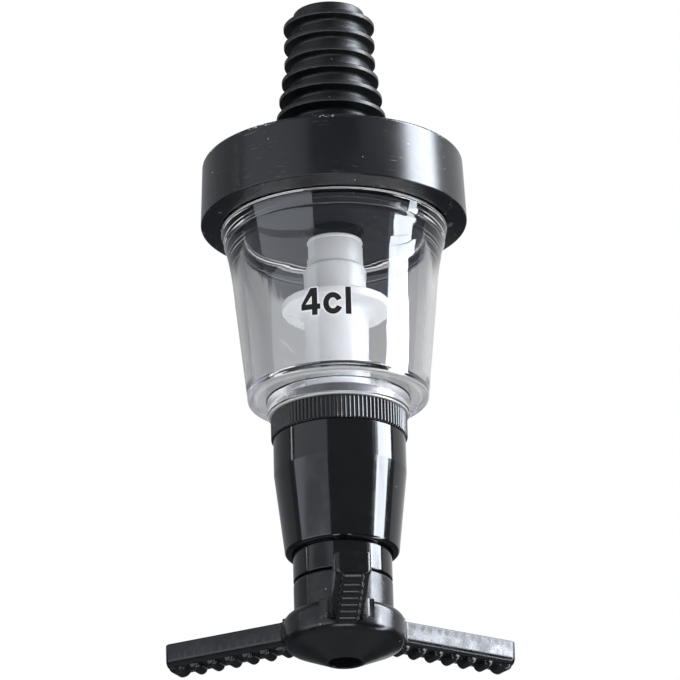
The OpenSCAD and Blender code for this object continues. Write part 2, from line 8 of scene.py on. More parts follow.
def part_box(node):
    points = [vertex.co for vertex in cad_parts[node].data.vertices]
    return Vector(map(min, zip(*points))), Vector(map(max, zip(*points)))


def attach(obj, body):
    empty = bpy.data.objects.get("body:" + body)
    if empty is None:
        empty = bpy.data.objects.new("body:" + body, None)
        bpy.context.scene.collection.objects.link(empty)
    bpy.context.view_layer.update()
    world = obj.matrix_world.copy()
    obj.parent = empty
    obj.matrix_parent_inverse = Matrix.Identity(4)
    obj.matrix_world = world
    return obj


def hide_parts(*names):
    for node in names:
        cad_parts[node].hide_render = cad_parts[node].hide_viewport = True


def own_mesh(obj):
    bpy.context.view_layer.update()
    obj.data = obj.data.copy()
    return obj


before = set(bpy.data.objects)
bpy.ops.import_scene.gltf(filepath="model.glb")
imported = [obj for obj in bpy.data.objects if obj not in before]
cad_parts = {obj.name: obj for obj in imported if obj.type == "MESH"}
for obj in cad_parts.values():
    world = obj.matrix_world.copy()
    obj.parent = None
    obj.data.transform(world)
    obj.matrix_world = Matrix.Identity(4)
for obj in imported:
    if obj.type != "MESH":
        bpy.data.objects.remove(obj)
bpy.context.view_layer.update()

# Lengths below are in millimetres, angles in degrees
MM = 0.001
LATHE_STEPS = 160
ARC_STEPS = 6
SHARP_ANGLE = 40
# Fade of the edge mark past a rounding: scuffs on some edges, a painted highlight line on others
WEAR_AND_SHEEN_FADE = 0.15
MERGE = 0.0001
FIT_GAP = 0.05
TINY_EDGE_R = 0.15
FINE_EDGE_R = 0.2
EDGE_R = 0.3
SOFT_EDGE_R = 0.5

# Bottle stopper
FIN_COUNT = 7
GRIP_FINS = 3
FIN_R = 10
FIN_PITCH = 4.35
FIN_STEP = 0.65
FIN_LAND = 0.95
FIN_ROOT_T = 2
FIN_EDGE_R = 0.15
GROOVE_FILLET = 0.8
NOSE_R = 7.8
NOSE_EDGE_R = 0.6
CORE_TOP_R = 7.7
CORE_FOOT_R = 9.4
SPIGOT_R = 5.9
INLET_BORE_R = 4.6

# Cap
CAP_TAPER = 0.6
CAP_EDGE_R = 0.7
CAP_RIM_R = 0.35
CAP_FALL = 0.9
CAP_PLATE_T = 3
CAP_ROOM = 1.7
CAP_LEDGE_GAP = 0.4
SKIRT_BORE_R = 24.75
VENT_HOLE_R = 1.1
HOLE_SIDES = 32
DRILL_MARGIN = 1
CAP_SCUFF_R = 28.8

# Chamber
CHAMBER_WALL = 2
FOOT_WALL = 1.5
CEILING_R = 21
RIM_BAND = 2.1
RIM_EDGE_H = 0.7
RIM_STEP_H = 1
FLARE_KNEE_R = 22.6
FLARE_KNEE_DROP = 5.7
FLARE_BEAD_DROP = 4.6
FLARE_BEAD = 0.09
FLARE_BEAD_H = 0.4
FLARE_BEAD_R = 0.1
# Milky share on the flare's bead: a painted highlight line
FLARE_BEAD_HIGHLIGHT = 0.25
FLARE_STEPS = 16
WAIST_R = 21.85
WAIST_DROP = 18
CONE_FOOT_R = 19.6
FOOT_EDGE_R = 1
FOOT_BEAD = 0.15
FOOT_BEAD_H = 0.5
FOOT_ROUND_R = 0.6
FOOT_SCUFF = 1.8
FLOOR_T = 2.3
NECK_RING_R = 15.4
NECK_RING_H = 3.4
NECK_R = 12.4
NECK_BORE_R = 9.65
FLOOR_HOLE_R = 7.4
THREAD_PITCH = 2
THREAD_DEPTH = 0.3
THREAD_H = 0.8
CHAMBER_SCUFF_R = 21
HAZE_DROP = 8
HAZE_FADE = 5
HAZE_END = 4
HAZE_END_FADE = 1
FROST_DROP = 0.3
FROST_FADE = 0.2

# Nut and barrel
SERRATIONS = 96
RIB_ANGLE = 48
RIB_STEPS = 10
NUT_EDGE = 0.25
BARREL_STRAIGHT_H = 7.9
BARREL_MOUTH_R = 12.2
BARREL_MOUTH_EDGE_R = 0.9
BARREL_KNEE_R = 0.4
BARREL_BORE_R = 11.38
GUIDE_BORE_R = 10.68
GUIDE_H = 3.6
BARREL_SCUFF_R = 13

# Plunger
TIP_LIP = 0.15
TIP_LIP_H = 0.7
TIP_LIP_FALL = 0.2
PIN_R = 4.6
PIN_H = 4
PIN_ROOM = 1
PLUG_EDGE_R = 0.8
STEM_R = 4.75
DISC_T = 2
DISC_FILLET = 2.2
TUBE_R = 7
TUBE_END_STEP = 0.95
SHOULDER_DROP = 81.4
SLEEVE_R = 10.6
SLEEVE_BORE_R = 9.5
STOP_R = 11.3
STOP_H = 2
SLEEVE_FLOOR_RISE = 1.3
SLEEVE_FLOOR_T = 2.5
PIVOT_R = 8.6
PIVOT_WALL = 1.1
SPRING_TURNS = 6.5
WIRE_R = 0.5
WIRE_SIDES = 10
CURL_STEPS = 48

# Arm spider
COLLAR_H = 7.5
COLLAR_EDGE_R = 0.9
HUB_R = 13
HUB_H = 6.7
HUB_EDGE_R = 2.2
HUB_FOOT_R = 2
OUTLET_R = 3.6
OUTLET_RIM = 0.7
FUNNEL_DROP = 0.4
FUNNEL_END_H = 1
SPIDER_BORE_R = 8.68
ARM_HEADINGS = {"arm_front": -90, "arm_right": 30, "arm_left": 150}
ARM_REACH = 41.7
ARM_ROOT_DEPTH = 3
ARM_W = 7.7
ARM_DROP = 0.2
ARM_H = 4.95
ARM_EDGE_R = 1.35
ARM_TOP_EDGE_R = 0.35
ARM_EDGE_STEPS = 8
ARM_TOP_EDGE_STEPS = 4
TIP_EDGE_R = 2
TIP_SIDE_R = 1.3
TIP_END_R = 1.2
TIP_STEPS = 9
ROOT_FILLET_R = 2
ROOT_STEP = 0.25
ROOT_STEPS = 18
TEETH = 7
TOOTH_PITCH = 4.25
TOOTH_R = 1.35
TOOTH_H = 1.3
TOOTH_LEN = 5
TOOTH_END_R = 0.7
TOOTH_SHARES = (0, 0.25, 0.5, 0.7, 0.82, 0.9, 0.95, 0.98, 0.995, 1.02)
FLOOR_SHARES = (0.995, 0.98, 0.95, 0.9, 0.84, 0.76, 0.6, 0.3, 0)

# Dose mark on the chamber
MARK_DROP = 25
MARK_TURN = -8.8
MARK_TILT = -0.6
MARK_STROKE = 1.2
FIGURE_W = 4.2
FIGURE_H = 6
FOUR_OVERHANG = 0.65
FOUR_BAR_Z = 1.25
FOUR_SLANT = 0.25
FOUR_WINDOW_DROP = 1.7
FOUR_WINDOW_LEFT = 0.95
ROUND_H = 4.8
ROUND_OPENING = 24
ROUND_STEPS = 30
BAR_H = 6
LETTER_GAP = 0.6
MARK_OUTLINE = 0.18
MARK_LIFT = 0.01
MARK_T = 0.03
MARK_CUT = 0.4
MARK_CUTS = 20
CUT_TOLERANCE = 0.00001

# Camera, solved from the photograph
IMAGE_PX = 680
FOCAL_PX = 6389.6
SENSOR = 36
CAMERA_DISTANCE = 1286.9
CAMERA_DROP = 527.7
CAMERA_PITCH = 21.3
CAMERA_YAW = 0.03
CAMERA_ROLL = -1.5
CAMERA_TURN = 3
CLIP_NEAR_M = 0.01
CLIP_FAR_M = 100

# Colours of the studio
COOL = (0.9, 0.96, 1.05)
NEUTRAL = (1, 1, 1)
WHITE_BACK = (1, 1, 1, 1)
FLOOR_PALE = (0.78, 0.78, 0.78, 1)
FLOOR_LIGHT = (0.82, 0.82, 0.82, 1)
ROOM = (0.19, 0.205, 0.23, 1)
ROOM_LOW = (0.07, 0.074, 0.084, 1)
ROOM_FLOOR = (0.3, 0.31, 0.335, 1)
SOFT_LIGHT = (1.34, 1.34, 1.34, 1)
BEHIND_LEFT = (0.265, 0.27, 0.27, 1)
BEHIND_RIGHT = (0.56, 0.565, 0.57, 1)
BEHIND_SIDE = (0.2, 0.2, 0.24, 1)
BEHIND_HIGH = (0.075, 0.077, 0.09, 1)
BEHIND_LOW = (0.1, 0.1, 0.14, 1)

# Where the studio's colours change, in parts of a unit direction: x right, y away from the camera, z up
LEFT_TO_RIGHT_X = (-0.3, 0.3)
LOW_TO_BEHIND_Z = (0.12, 0.25)
BEHIND_TO_HIGH_Z = (0.43, 0.45)
BEHIND_TO_HIGH_X = (0.08, 0.05)
SIDE_TO_BEHIND_Y = (0.35, 0.75)
LOW_TO_ROOM_Z = (-0.15, 0.12)
FLOOR_TO_ROOM_Z = (-0.75, -0.55)

# Light panels and floor of the studio
FLOOR_Z = -1950
FLOOR_SIZE = 40000
STRIP_DISTANCE = 1200
STRIP_RADIANCE = 20
WINDOW_DISTANCE = 1500
WINDOW_START = -85
WINDOW_END = -21
BACKDROP_DISTANCE = 5000
PANEL_GAP = 10

# Bands of the bright strip on the right: name, first and last direction, lower and upper level
STRIP_BANDS = (
    ("strip", 70, 100, 275, 1500), ("strip_bend", 70, 88, 240, 275), ("strip_waist", 63, 88, 215, 240),
    ("strip_cone", 61.5, 96, 150, 215), ("strip_barrel", 61.5, 90, 105, 150),
    ("strip_flare", 66, 89, 75, 105), ("strip_neck", 65, 89, 40, 75), ("strip_low", 65, 92, -100, 40))

# Bands of the window on the left: name, lower and upper level, radiance
WINDOW_BANDS = (
    ("window", 345, 650, 0.9), ("window_arm", 250, 345, 0.3), ("window_cone", 105, 250, 1.9),
    ("window_barrel", 50, 105, 0.8), ("window_low", -500, 50, 2.4), ("window_top", 650, 1700, 0.5))


def extent(node):
    """Lower level, upper level and outer radius of a CAD node that is centred on the axis."""
    low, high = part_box(node)
    return low.z / MM, high.z / MM, high.x / MM


# Levels counted from the cap's lowest edge
CAP_LOW = extent("top_cap")[0]
SHOULDER_Z = CAP_LOW - SHOULDER_DROP
MARK_Z = CAP_LOW - MARK_DROP
CAMERA_Z = CAP_LOW - CAMERA_DROP


# Mesh helpers

def edge_of(corner):
    """Rounding and edge mark of a profile corner, 0 where it gives none; the mark is rubbed scuffing on
    some edges and a painted highlight line on others.
    """
    return (tuple(corner[2:]) + (0, 0))[:2]


def rounded(corners):
    """Closed profile of (radius, level, mark) points through (radius, level, rounding, mark) corners; the
    edge mark is rubbed scuffing on some edges and a painted highlight line on others.
    """
    points = []
    for k, corner in enumerate(corners):
        here = Vector(corner[:2])
        rounding, wear_and_sheen = edge_of(corner)
        if not rounding:
            points.append((*here, wear_and_sheen))
            continue
        previous, following = corners[k - 1], corners[(k + 1) % len(corners)]
        before = (Vector(previous[:2]) - here).normalized()
        after = (Vector(following[:2]) - here).normalized()
        half = before.angle(after) / 2
        centre = here + (before + after).normalized() * (rounding / math.sin(half))
        reach = rounding / math.tan(half)
        curve = [(*p, wear_and_sheen) for p in arc(centre, here + before * reach, here + after * reach)]
        if wear_and_sheen and not edge_of(previous)[1]:
            curve.insert(0, (*(here + before * (reach + WEAR_AND_SHEEN_FADE)), 0))
        if wear_and_sheen and not edge_of(following)[1]:
            curve.append((*(here + after * (reach + WEAR_AND_SHEEN_FADE)), 0))
        points += curve
    return points


def arc(centre, start, end):
    """Points on the shorter arc round centre from start to end."""
    first = math.atan2(start.y - centre.y, start.x - centre.x)
    last = math.atan2(end.y - centre.y, end.x - centre.x)
    sweep = (last - first + math.pi) % (2 * math.pi) - math.pi
    radius = (start - centre).length
    angles = [first + sweep * k / ARC_STEPS for k in range(ARC_STEPS + 1)]
    return [centre + radius * Vector((math.cos(a), math.sin(a))) for a in angles]


def bend(start, knee, end, steps=12):
    """Points on a curve that leaves start towards knee and arrives at end from knee."""
    shares = [k / steps for k in range(steps + 1)]
    start, knee, end = Vector(start), Vector(knee), Vector(end)
    return [(1 - t) ** 2 * start + 2 * t * (1 - t) * knee + t * t * end for t in shares]


def mesh_object(name, points, faces, wear_and_sheen=None):
    """Object with a clean, outward, smooth-shaded mesh made of points in millimetres."""
    mesh = bpy.data.meshes.new(name)
    mesh.from_pydata([Vector(p) * MM for p in points], [], faces)
    if wear_and_sheen:
        mesh.attributes.new("wear_and_sheen", "FLOAT", "POINT").data.foreach_set("value", wear_and_sheen)
    work = bmesh.new()
    work.from_mesh(mesh)
    bmesh.ops.remove_doubles(work, verts=work.verts, dist=MERGE * MM)
    bmesh.ops.recalc_face_normals(work, faces=work.faces)
    work.to_mesh(mesh)
    work.free()
    mesh.shade_smooth()
    mesh.set_sharp_from_angle(angle=math.radians(SHARP_ANGLE))
    obj = bpy.data.objects.new(name, mesh)
    bpy.context.scene.collection.objects.link(obj)
    weighted = obj.modifiers.new("weighted_normals", "WEIGHTED_NORMAL")
    weighted.keep_sharp = True
    return obj


def turned_faces(steps, count):
    """Faces between closed rows of points that stand round the axis, count points in each row."""
    faces = []
    for k in range(steps):
        here = k * count
        there = (k + 1) % steps * count
        for i in range(count):
            j = (i + 1) % count
            faces.append((here + i, there + i, there + j, here + j))
    return faces


def lathe(name, profile):
    """Solid of a closed profile of (radius, level, edge mark) turned about the axis; the mark is rubbed
    scuffing on some edges and a painted highlight line on others.
    """
    points = []
    for k in range(LATHE_STEPS):
        a = 2 * math.pi * k / LATHE_STEPS
        points += [(r * math.cos(a), r * math.sin(a), z) for r, z, _ in profile]
    wear_and_sheen = [wear_and_sheen for _, _, wear_and_sheen in profile] * LATHE_STEPS
    return mesh_object(name, points, turned_faces(LATHE_STEPS, len(profile)), wear_and_sheen)


def loft(name, rows):
    """Solid through closed rows of points with the same count, with flat ends."""
    count = len(rows[0])
    points = [p for row in rows for p in row]
    faces = [tuple(range(count)), tuple(range(len(points) - count, len(points)))]
    for k in range(len(rows) - 1):
        here = k * count
        for i in range(count):
            j = (i + 1) % count
            faces.append((here + i, here + j, here + count + j, here + count + i))
    return mesh_object(name, points, faces)


def dress(obj, material, body, slot, *nodes):
    """Gives a piece its material and body, and hides the CAD nodes it stands for. The slot argument is not
    used.
    """
    obj.data.materials.clear()
    obj.data.materials.append(material)
    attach(obj, body)
    if nodes:
        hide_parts(*nodes)
    return obj


# Node helpers

class Nodes:
    """Short way to add nodes to a material's or world's tree."""

    def __init__(self, owner):
        owner.use_nodes = True
        self.tree = owner.node_tree

    def add(self, kind, inputs=None, **settings):
        node = self.tree.nodes.new(kind)
        for key, value in settings.items():
            setattr(node, key, value)
        for key, value in (inputs or {}).items():
            self.feed(node.inputs[key], value)
        return node

    def feed(self, socket, value):
        if isinstance(value, bpy.types.NodeSocket):
            self.tree.links.new(value, socket)
        else:
            socket.default_value = value

    def maths(self, operation, *values):
        return self.add("ShaderNodeMath", dict(enumerate(values)), operation=operation).outputs[0]

    def remap(self, value, low, high, to_low=0.0, to_high=1.0):
        """value from low..high to to_low..to_high, held at the ends."""
        ends = {"From Min": low, "From Max": high, "To Min": to_low, "To Max": to_high}
        return self.add("ShaderNodeMapRange", {"Value": value, **ends}).outputs[0]

    def blend(self, share, first, second):
        """Colour mix from first to second."""
        node = self.add("ShaderNodeMix", data_type="RGBA")
        self.feed(node.inputs[0], share)
        self.feed(node.inputs[6], first)
        self.feed(node.inputs[7], second)
        return node.outputs[2]


class Paint(Nodes):
    """A material round one Principled shader, with textures in millimetres of the piece's own frame."""

    def __init__(self, name, **sockets):
        self.material = bpy.data.materials.new(name)
        super().__init__(self.material)
        self.shader = self.tree.nodes["Principled BSDF"]
        for label, value in sockets.items():
            self.shader.inputs[label.replace("_", " ")].default_value = value
        place = self.add("ShaderNodeTexCoord").outputs["Object"]
        scale = self.add("ShaderNodeVectorMath", {0: place, 3: 1 / MM}, operation="SCALE")
        self.place = scale.outputs[0]

    def around(self, radius):
        """Place on an unrolled wall: distance round the axis at that radius, then height."""
        x, y, z = self.add("ShaderNodeSeparateXYZ", {0: self.place}).outputs
        along = self.maths("MULTIPLY", self.maths("ARCTAN2", y, x), radius)
        return self.add("ShaderNodeCombineXYZ", {0: along, 1: z}).outputs[0]

    def noise(self, per_mm, detail=3.0, place=None, stretch=None):
        place = place or self.place
        if stretch:
            longer = self.add("ShaderNodeVectorMath", {0: place, 1: stretch}, operation="MULTIPLY")
            place = longer.outputs[0]
        inputs = {"Vector": place, "Scale": per_mm, "Detail": detail}
        return self.add("ShaderNodeTexNoise", inputs).outputs[0]

    def even(self, noise, low=0.0, high=1.0):
        """A noise spread from its usual middle range to low..high."""
        return self.remap(noise, 0.3, 0.7, low, high)

    def specks(self, per_mm, size, share):
        """1 inside small round specks in that share of the cells, 0 elsewhere."""
        cells = self.add("ShaderNodeTexVoronoi", {"Vector": self.place, "Scale": per_mm})
        dot = self.remap(cells.outputs["Distance"], size, size * 0.6)
        pick = self.add("ShaderNodeSeparateColor", {0: cells.outputs["Color"]}).outputs[0]
        return self.maths("MULTIPLY", dot, self.maths("LESS_THAN", pick, share))

    def scuffs(self, radius, per_mm, length, least, most):
        """Short horizontal scuff lines round a wall, from 0 to 1."""
        lines = self.noise(per_mm, 2.0, self.around(radius), (1 / length, 1, 1))
        return self.remap(lines, least, most)

    def wear_and_sheen_mask(self, per_mm, least, most):
        """Broken edge mask along the edges that the mesh marks, from 0 to 1: scuffs and chips on some, a
        painted highlight line on others.
        """
        edge = self.add("ShaderNodeAttribute", attribute_name="wear_and_sheen").outputs["Fac"]
        return self.maths("MULTIPLY", edge, self.remap(self.noise(per_mm, 3), least, most))

    def set(self, label, value):
        self.feed(self.shader.inputs[label], value)

    def bump(self, height, depth_mm, strength=1.0):
        inputs = {"Height": height, "Distance": depth_mm * MM, "Strength": strength}
        self.set("Normal", self.add("ShaderNodeBump", inputs).outputs[0])


# Materials

DUST = (0.42, 0.42, 0.42, 1)
DIRT = (0.3, 0.29, 0.27, 1)
# Lighter rubber on the fins' lower rims: rubbing, and a painted highlight line
RUBBER_EDGE_WEAR_AND_HIGHLIGHT = (0.055, 0.057, 0.06, 1)
CAP_DARK = (0.0042, 0.0048, 0.0062, 1)
CAP_LIGHT = (0.0062, 0.0071, 0.009, 1)
CAP_SCUFF = (0.12, 0.125, 0.13, 1)
CAP_CHIP = (0.6, 0.6, 0.6, 1)
CLEAR_SKIN = (0.985, 0.985, 0.99, 1)
CLEAR_SHADOW = (0.95, 0.95, 0.96, 1)
CLEAR_BODY = (0.78, 0.775, 0.83, 1)
STEEL_DARK = (0.5, 0.51, 0.53, 1)
STEEL_LIGHT = (0.66, 0.66, 0.67, 1)


def scaled(colour, share):
    return tuple(share * c for c in colour[:3]) + (1,)


def rubber(name, colour, roughness):
    paint = Paint(name, Specular_IOR_Level=0.38)
    wide = paint.noise(0.35)
    fine = paint.noise(5, 2)
    dust = paint.specks(1.1, 0.13, 0.06)
    # Marked edges turn lighter grey: rubbing, and a painted highlight line along the fins' lower rims
    edge = paint.wear_and_sheen_mask(0.8, 0.2, 0.7)
    body = paint.blend(paint.remap(wide, 0.3, 0.75), colour, scaled(colour, 1.6))
    body = paint.blend(edge, body, RUBBER_EDGE_WEAR_AND_HIGHLIGHT)
    paint.set("Base Color", paint.blend(dust, body, DUST))
    paint.set("Roughness", paint.even(wide, roughness - 0.05, roughness + 0.07))
    paint.bump(fine, 0.01, 0.4)
    return paint.material


def satin_black():
    paint = Paint("cap_satin", Specular_IOR_Level=0.5)
    wide = paint.noise(0.09)
    fine = paint.noise(7, 2)
    scuff = paint.scuffs(CAP_SCUFF_R, 2, 8, 0.62, 0.7)
    patch = paint.remap(paint.noise(0.07, 1), 0.42, 0.6)
    scuff = paint.maths("MULTIPLY", paint.maths("MULTIPLY", scuff, patch), 0.45)
    dust = paint.specks(0.6, 0.1, 0.07)
    spread = paint.wear_and_sheen_mask(2.2, 0.52, 0.66)
    chips = paint.maths("MULTIPLY", spread, paint.remap(paint.noise(0.16, 1), 0.46, 0.6))
    body = paint.blend(paint.even(wide), CAP_DARK, CAP_LIGHT)
    body = paint.blend(scuff, body, CAP_SCUFF)
    body = paint.blend(chips, body, CAP_CHIP)
    paint.set("Base Color", paint.blend(dust, body, DUST))
    rough = paint.even(wide, 0.19, 0.25)
    paint.set("Roughness", paint.maths("ADD", rough, paint.maths("MULTIPLY", scuff, 0.4)))
    paint.bump(fine, 0.004, 0.5)
    return paint.material


def gloss_black(name, colour, roughness, smudge=0.04, specular=0.5, dusty=0.05):
    """Black moulding; smudge is how far finger marks raise its roughness, dusty the share of specks."""
    paint = Paint(name, Specular_IOR_Level=specular)
    wide = paint.noise(0.3, 4)
    fine = paint.noise(1.4, 2)
    hair = paint.scuffs(BARREL_SCUFF_R, 2.4, 14, 0.7, 0.76)
    dust = paint.specks(0.7, 0.13, dusty)
    body = paint.blend(paint.even(wide), colour, scaled(colour, 1.35))
    paint.set("Base Color", paint.blend(paint.maths("MULTIPLY", dust, 0.6), body, DUST))
    rough = paint.remap(wide, 0.4, 0.65, roughness, roughness + smudge)
    paint.set("Roughness", paint.maths("ADD", rough, paint.maths("MULTIPLY", hair, 0.12)))
    paint.bump(fine, 0.002, 0.5)
    return paint.material


def moulded(name, colour, roughness, subsurface=0.0):
    paint = Paint(name, Subsurface_Weight=subsurface, Subsurface_Scale=0.0008)
    wide = paint.noise(0.15)
    fine = paint.noise(4, 2)
    dust = paint.specks(0.5, 0.1, 0.05)
    body = paint.blend(paint.even(wide), colour, scaled(colour, 0.93))
    paint.set("Base Color", paint.blend(paint.maths("MULTIPLY", dust, 0.5), body, DIRT))
    paint.set("Roughness", paint.even(wide, roughness - 0.05, roughness + 0.05))
    paint.bump(fine, 0.004, 0.5)
    return paint.material


def clear_plastic(haze_z, frost_z):
    """Clear moulding that lets light through, hazy at a flat angle below haze_z, frosted below frost_z."""
    paint = Paint("chamber_clear", Base_Color=CLEAR_SKIN, Transmission_Weight=1.0, IOR=1.49)
    wide = paint.noise(0.08)
    hair = paint.scuffs(CHAMBER_SCUFF_R, 2.0, 10, 0.7, 0.76)
    rough = paint.even(wide, 0.005, 0.03)
    rough = paint.maths("ADD", rough, paint.maths("MULTIPLY", hair, 0.05))
    level = paint.add("ShaderNodeSeparateXYZ", {0: paint.place}).outputs[2]
    frost = paint.remap(level, frost_z, frost_z - FROST_FADE, 0.0, 0.18)
    paint.set("Roughness", paint.maths("ADD", rough, frost))
    # Marked edges let less light through and turn milky: scuffs on the foot, a painted highlight line on
    # the flare's bead
    wear_and_sheen_mask = paint.maths("MULTIPLY", paint.wear_and_sheen_mask(0.5, 0.0, 0.3), 0.35)
    facing = paint.add("ShaderNodeLayerWeight", {"Blend": 0.5}).outputs["Facing"]
    below = paint.remap(level, haze_z, haze_z - HAZE_FADE)
    haze_end = frost_z + HAZE_END
    above = paint.remap(level, haze_end - HAZE_END_FADE, haze_end)
    band = paint.maths("MULTIPLY", below, above)
    haze = paint.maths("MULTIPLY", paint.remap(facing, 0.55, 0.8, 0.0, 0.4), band)
    paint.set("Transmission Weight", paint.maths("SUBTRACT", 1.0, paint.maths("MAXIMUM", wear_and_sheen_mask, haze)))
    streak = paint.noise(1.3, 2, paint.around(CHAMBER_SCUFF_R), (1, 0.08, 1))
    paint.bump(paint.maths("ADD", wide, paint.maths("MULTIPLY", streak, 0.8)), 0.03, 0.4)
    shadow = paint.add("ShaderNodeLightPath").outputs["Is Shadow Ray"]
    glow = paint.add("ShaderNodeBsdfTransparent", {"Color": CLEAR_SHADOW})
    mix = paint.add("ShaderNodeMixShader", {0: shadow, 1: paint.shader.outputs[0], 2: glow.outputs[0]})
    body = paint.add("ShaderNodeVolumeAbsorption", {"Color": CLEAR_BODY, "Density": 22.0})
    out = paint.tree.nodes["Material Output"]
    paint.feed(out.inputs["Surface"], mix.outputs[0])
    paint.feed(out.inputs["Volume"], body.outputs[0])
    return paint.material


def steel(name):
    paint = Paint(name, Metallic=1.0)
    drawn = paint.noise(3, 2, None, (1, 1, 6))
    paint.set("Base Color", paint.blend(drawn, STEEL_DARK, STEEL_LIGHT))
    paint.set("Roughness", paint.even(drawn, 0.2, 0.36))
    paint.bump(drawn, 0.004, 0.4)
    return paint.material


def ink(name, colour):
    paint = Paint(name, Roughness=0.6, Specular_IOR_Level=0.15)
    thin = paint.remap(paint.noise(3, 2), 0.35, 0.7)
    faded = tuple(c * 0.85 + 0.012 for c in colour[:3]) + (1,)
    paint.set("Base Color", paint.blend(thin, colour, faded))
    return paint.material


RUBBER = rubber("stopper_rubber", (0.004, 0.0043, 0.005, 1), 0.4)
SEAL = rubber("seal_rubber", (0.02, 0.02, 0.021, 1), 0.6)
GREY_SEAL = rubber("grey_seal", (0.06, 0.06, 0.064, 1), 0.6)
CAP = satin_black()
GLOSS = gloss_black("gloss_black", (0.004, 0.0043, 0.005, 1), 0.06)
SATIN = gloss_black("satin_gloss", (0.005, 0.0053, 0.0062, 1), 0.17, 0.14, 0.36)
NUT = gloss_black("nut_gloss", (0.008, 0.0085, 0.0095, 1), 0.13)
LID = gloss_black("lid_black", (0.004, 0.0044, 0.0075, 1), 0.55, 0.1, 0.15, 0.3)
DARK = gloss_black("bush_black", (0.012, 0.0125, 0.0135, 1), 0.4, 0.1, 0.3)
WHITE = moulded("white_moulded", (0.88, 0.885, 0.87, 1), 0.3, 0.15)
LIGHT = moulded("light_moulded", (0.42, 0.42, 0.42, 1), 0.42, 0.1)
CLEAR = clear_plastic(CAP_LOW - HAZE_DROP, extent("neck_washer")[1] + NECK_RING_H - FROST_DROP)
STEEL = steel("spring_steel")
INK_BLACK = ink("ink_black", (0.006, 0.006, 0.007, 1))
INK_WHITE = ink("ink_white", (0.86, 0.86, 0.87, 1))


# Pieces of the measure's body

def bottle_stopper():
    low, top, _ = extent("bottle_stopper")
    bore = SPIGOT_R + FIT_GAP

    def core(z):
        return CORE_TOP_R + (CORE_FOOT_R - CORE_TOP_R) * (top - z) / (top - low)

    corners = [(bore, low), (bore, top, FINE_EDGE_R), (NOSE_R, top, NOSE_EDGE_R)]
    for k in range(FIN_COUNT):
        z = (1 - k) * FIN_PITCH
        rim = FIN_R + max(0, k + 1 - GRIP_FINS) * FIN_STEP
        # Each fin's lower rim edge is marked: it gets a lighter colour for rubbing and a painted highlight
        # line
        corners += [
            (core(z), z + FIN_ROOT_T / 2, EDGE_R), (rim, z + FIN_LAND / 2, EDGE_R),
            (rim, z - FIN_LAND / 2, FIN_EDGE_R, 1), (core(z), z - FIN_ROOT_T / 2, GROOVE_FILLET)]
    corners.append((CORE_FOOT_R, low))
    obj = lathe("stopper_shell", rounded(corners))
    return dress(obj, RUBBER, "measure_body", "stopper_rubber", "bottle_stopper")


def cut_hole(obj, centre, radius, low, high):
    """Drills a round vertical hole through a piece."""
    bpy.ops.mesh.primitive_cylinder_add(
        vertices=HOLE_SIDES, radius=radius * MM, depth=(high - low) * MM,
        location=(centre[0] * MM, centre[1] * MM, (low + high) / 2 * MM))
    drill = bpy.context.object
    cut = obj.modifiers.new("hole", "BOOLEAN")
    cut.object = drill
    obj.modifiers.move(len(obj.modifiers) - 1, 0)
    bpy.context.view_layer.objects.active = obj
    bpy.ops.object.modifier_apply(modifier=cut.name)
    obj.data.set_sharp_from_angle(angle=math.radians(SHARP_ANGLE))
    bpy.data.objects.remove(drill)


def top_cap():
    low, top, outer = extent("top_cap")
    plate_top = extent("bottle_stopper")[0]
    plate_low = plate_top - CAP_PLATE_T
    lid_flange_r = extent("chamber_lid")[2]
    rim_low = low + CAP_FALL
    ledge_r = lid_flange_r - CHAMBER_WALL - CAP_LEDGE_GAP
    ledge_z = plate_low - CAP_ROOM
    corners = [
        (INLET_BORE_R, plate_low), (INLET_BORE_R, top, EDGE_R), (SPIGOT_R, top, EDGE_R),
        (SPIGOT_R, plate_top), (outer - CAP_TAPER, plate_top, CAP_EDGE_R, 1),
        (outer, rim_low, CAP_RIM_R), (SKIRT_BORE_R, low, FINE_EDGE_R), (SKIRT_BORE_R, ledge_z),
        (ledge_r, ledge_z), (ledge_r, plate_low)]
    obj = lathe("cap_shell", rounded(corners))
    vent_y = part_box("vent_valve")[1].y / MM
    cut_hole(obj, (0, vent_y), VENT_HOLE_R, plate_low - DRILL_MARGIN, plate_top + DRILL_MARGIN)
    return dress(obj, CAP, "measure_body", "cap_plastic", "top_cap")


def cone_radius(z, waist_z, edge_z):
    return WAIST_R + (WAIST_R - CONE_FOOT_R) / (waist_z - edge_z) * (z - waist_z)


def chamber_levels():
    """Levels of the rim's lower edge, waist, cone edge and base of the chamber."""
    rim_low = CAP_LOW + CAP_FALL
    base = extent("neck_washer")[1] + NECK_RING_H
    return rim_low - RIM_BAND, rim_low - WAIST_DROP, base + FOOT_EDGE_R, base


def chamber_rim(rim_r, low, high):
    """Corners of the threaded rim, from its top down to the band that shows below the cap."""
    first = high - RIM_STEP_H
    root_r = rim_r - THREAD_DEPTH
    corners = [(rim_r - CHAMBER_WALL, high), (root_r, high)]
    for k in range(int((first - low) / THREAD_PITCH)):
        z = first - k * THREAD_PITCH
        corners += [(root_r, z), (rim_r, z - THREAD_H / 2, FINE_EDGE_R), (root_r, z - THREAD_H)]
    return corners


